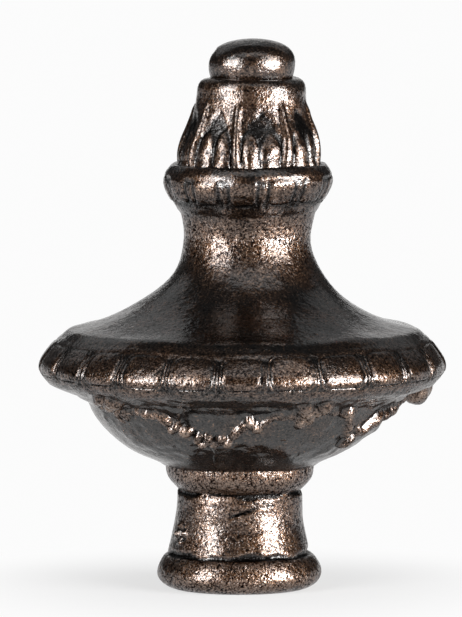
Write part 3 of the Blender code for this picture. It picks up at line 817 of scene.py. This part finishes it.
def antique_bronze():
    """A black glossy patina with fine pits and a net of fine lines, rubbed through to brown and copper."""
    material = bpy.data.materials.new("antique_bronze")
    material.use_nodes = True
    tree = material.node_tree
    shader = tree.nodes["Principled BSDF"]
    where = node(tree, "ShaderNodeTexCoord").outputs["Object"]
    grain = lumps(tree, where, 5200, 2.0, 0.6)
    pits = lumps(tree, where, 2300, 2.0, 0.55)
    dents = lumps(tree, where, 900, 1.0, 0.5)
    patches = lumps(tree, where, 420, 2.0, 0.5)
    folds = lumps(tree, where, 3100, 1.0, 0.5)
    hollow_patina_and_shade, rubbed, bared_and_glinting = (attribute(tree, name) for name in ("hollow_patina_and_shade", "rubbed", "bared_and_glinting"))

    # The net is 0 on its lines and 1 between them, and shows where the patina is rubbed
    lines = maths(tree, "ABSOLUTE", maths(tree, "SUBTRACT", folds, 0.5))
    lines = maths(tree, "SUBTRACT", 1.0, ramp(tree, lines, [(0.012, 0.0), (0.05, 1)]))
    lines = maths(tree, "MULTIPLY", lines, maths(tree, "MULTIPLY", rubbed, 1.4, clamp=True))
    net = maths(tree, "SUBTRACT", 1.0, lines)

    # Colours, each laid over the one before
    worn = maths(tree, "MULTIPLY", maths(tree, "SUBTRACT", patches, 0.5), 1.2)
    worn = maths(tree, "SUBTRACT", maths(tree, "ADD", rubbed, worn), hollow_patina_and_shade, clamp=True)
    speckle = maths(tree, "ADD", maths(tree, "MULTIPLY", grain, 0.65), maths(tree, "MULTIPLY", pits, 0.35))
    flecks = maths(tree, "ADD", speckle, maths(tree, "MULTIPLY", worn, 0.13))
    flecks = ramp(tree, flecks, [(0.57, 0), (0.69, 1)])
    bright = maths(tree, "MULTIPLY", bared_and_glinting, ramp(tree, speckle, [(0.4, 0.1), (0.52, 1)]))
    colour = blend(tree, worn, PATINA, RUBBED_PATINA)
    colour = blend(tree, flecks, colour, COPPER)
    colour = blend(tree, ramp(tree, speckle, [(0.4, 0.05), (0.47, 1)]), SPECK, colour)
    colour = blend(tree, net, LINE, colour)
    # Painted shade: sunk hollows are blackened, along with the patina that lies in them
    colour = blend(tree, hollow_patina_and_shade, colour, PATINA_AND_SHADE_IN_HOLLOWS)
    # Painted highlight: raised beads and leaves turn to bright metal, which also stands for wear
    colour = blend(tree, bright, colour, BRIGHT_METAL_AND_GLINT)
    tree.links.new(colour, shader.inputs["Base Color"])
    tree.links.new(ramp(tree, pits, [(0.3, 0.44), (0.7, 0.28)]), shader.inputs["Roughness"])

    # The surface's fine relief, stronger where it is rubbed
    relief = maths(tree, "ADD", maths(tree, "MULTIPLY", grain, 0.42), maths(tree, "MULTIPLY", pits, 1.2))
    relief = maths(tree, "ADD", relief, maths(tree, "MULTIPLY", dents, 1.4))
    relief = maths(tree, "ADD", relief, maths(tree, "MULTIPLY", net, 0.15))
    bump = node(tree, "ShaderNodeBump", [("Height", relief)], Distance=0.0001)
    tree.links.new(maths(tree, "ADD", maths(tree, "MULTIPLY", rubbed, 0.42), 0.32), bump.inputs["Strength"])
    tree.links.new(bump.outputs[0], shader.inputs["Normal"])
    tree.links.new(bump.outputs[0], shader.inputs["Coat Normal"])

    # The lacquer, thin in the dark specks, dulled in the hollows along with their painted shade, and missing
    # on the net's lines
    dull = maths(tree, "SUBTRACT", 1.0, ramp(tree, speckle, [(0.4, 0), (0.48, 1)]))
    dull = maths(tree, "MULTIPLY", dull, maths(tree, "ADD", rubbed, 0.3, clamp=True))
    gloss = maths(tree, "MULTIPLY", maths(tree, "SUBTRACT", 1.0, dull), net)
    outside_shaded_hollows = maths(tree, "SUBTRACT", 1.0, maths(tree, "MULTIPLY", hollow_patina_and_shade, 0.7))
    gloss = maths(tree, "MULTIPLY", gloss, outside_shaded_hollows)
    gloss = maths(tree, "MULTIPLY", gloss, maths(tree, "ADD", maths(tree, "MULTIPLY", rubbed, 0.33), 0.72))
    tree.links.new(gloss, shader.inputs["Coat Weight"])
    shader.inputs["Metallic"].default_value = 1.0
    shader.inputs["Specular Tint"].default_value = (0.3, 0.27, 0.25, 1)
    shader.inputs["Coat Roughness"].default_value = 0.09
    shader.inputs["Coat IOR"].default_value = 1.8
    return material


# The floor's grey, how far it reaches, and between which distances from the middle, in metres, it fades
# into the plain pale glow of the surroundings. Next to the finial the glow already has this share
FLOOR_GREY = 0.6
FLOOR_REACH = 4000
FLOOR_FADE = (0.008, 0.032)
FLOOR_GLOW = 0.65


def floor():
    """A pale floor, which fades into the pale surroundings away from the finial."""
    mesh = bpy.data.meshes.new("floor")
    reach = FLOOR_REACH * MM
    corners = [(-reach, -reach, 0), (reach, -reach, 0), (reach, reach, 0), (-reach, reach, 0)]
    mesh.from_pydata(corners, [], [(0, 1, 2, 3)])
    plane = bpy.data.objects.new("floor", mesh)
    material = bpy.data.materials.new("pale_floor")
    material.use_nodes = True
    tree = material.node_tree
    shader = tree.nodes["Principled BSDF"]
    shader.inputs["Base Color"].default_value = (FLOOR_GREY, FLOOR_GREY, FLOOR_GREY, 1)
    shader.inputs["Roughness"].default_value = 0.9
    shader.inputs["Specular IOR Level"].default_value = 0.1
    where = node(tree, "ShaderNodeTexCoord").outputs["Object"]
    distance = node(tree, "ShaderNodeVectorMath", [("Vector", where)], operation="LENGTH").outputs["Value"]
    far = node(tree, "ShaderNodeMapRange", [("Value", distance)], interpolation_type="SMOOTHSTEP")
    far.inputs["From Min"].default_value, far.inputs["From Max"].default_value = FLOOR_FADE
    far.inputs["To Min"].default_value = FLOOR_GLOW
    glow = node(tree, "ShaderNodeEmission", Strength=PALE)
    shades = [(0, far.outputs[0]), (1, shader.outputs[0]), (2, glow.outputs[0])]
    both = node(tree, "ShaderNodeMixShader", shades)
    tree.links.new(both.outputs[0], tree.nodes["Material Output"].inputs["Surface"])
    mesh.materials.append(material)
    bpy.context.scene.collection.objects.link(plane)


# How bright the pale surroundings are in the picture, and how bright the light that they give is
PALE = 0.97
AMBIENT = 0.072

# Soft boxes: azimuth, elevation of their middle, distance, width and height, and radiance
SOFT_BOXES = [
    (-49, 28, 520, 270, 170, 8),
    (-49, 7, 520, 270, 200, 18),
    (57, 23, 520, 290, 190, 8.5),
    (57, 1, 520, 370, 195, 43),
    (180, 10, 900, 380, 360, 0.8),
    (0, 62, 600, 900, 260, 1.1),
    (-155, 38, 600, 480, 300, 0.45),
    (155, 38, 600, 480, 300, 0.27),
]


def surroundings():
    """A pale background for the camera, which gives the finial only a little light."""
    world = bpy.data.worlds.new("surroundings")
    bpy.context.scene.world = world
    world.use_nodes = True
    tree = world.node_tree
    seen = node(tree, "ShaderNodeBackground", Strength=PALE)
    given = node(tree, "ShaderNodeBackground", Strength=AMBIENT)
    for shade in (seen, given):
        shade.inputs["Color"].default_value = (1, 1, 1, 1)
    eye = node(tree, "ShaderNodeLightPath").outputs["Is Camera Ray"]
    both = node(tree, "ShaderNodeMixShader", [(0, eye), (1, given.outputs[0]), (2, seen.outputs[0])])
    tree.links.new(both.outputs[0], tree.nodes["World Output"].inputs["Surface"])


def soft_box(azimuth, elevation, distance, width, height, radiance):
    """A soft light that faces the middle of the picture, and doesn't show in it."""
    light = bpy.data.lights.new(f"soft_box_{azimuth}", "AREA")
    light.shape = "RECTANGLE"
    light.size, light.size_y = width * MM, height * MM
    light.energy = radiance * math.pi * light.size * light.size_y
    holder = bpy.data.objects.new(light.name, light)
    angle, rise = math.radians(azimuth), math.radians(elevation)
    back = Vector((math.sin(angle) * math.cos(rise), -math.cos(angle) * math.cos(rise), math.sin(rise)))
    holder.location = back * distance * MM + Vector((0, 0, MIDDLE_Z * MM))
    holder.rotation_euler = back.to_track_quat("Z", "Y").to_euler()
    holder.visible_camera = False
    bpy.context.scene.collection.objects.link(holder)


def camera():
    """The photograph's view: from a little above, with the middle of the picture on this point."""
    data = bpy.data.cameras.new("camera")
    data.sensor_width = SENSOR
    data.sensor_fit = "AUTO"
    data.lens = SENSOR * CAMERA_DISTANCE / (MM_PER_PIXEL * PICTURE_HEIGHT)
    holder = bpy.data.objects.new("camera", data)
    rise = math.radians(CAMERA_ELEVATION)
    back = Vector((0, -math.cos(rise), math.sin(rise)))
    holder.location = (Vector((MIDDLE_X, 0, MIDDLE_Z)) + back * CAMERA_DISTANCE) * MM
    holder.rotation_euler = back.to_track_quat("Z", "Y").to_euler()
    data.clip_start, data.clip_end = 0.01, 20
    bpy.context.scene.collection.objects.link(holder)
    bpy.context.scene.camera = holder


def main():
    finial = casting()
    finial.data.materials.append(antique_bronze())
    bpy.context.scene.collection.objects.link(finial)
    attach(finial, "root")
    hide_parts(NODE)
    floor()
    surroundings()
    for box in SOFT_BOXES:
        soft_box(*box)
    camera()
    bpy.context.scene.view_settings.view_transform = "Standard"


main()
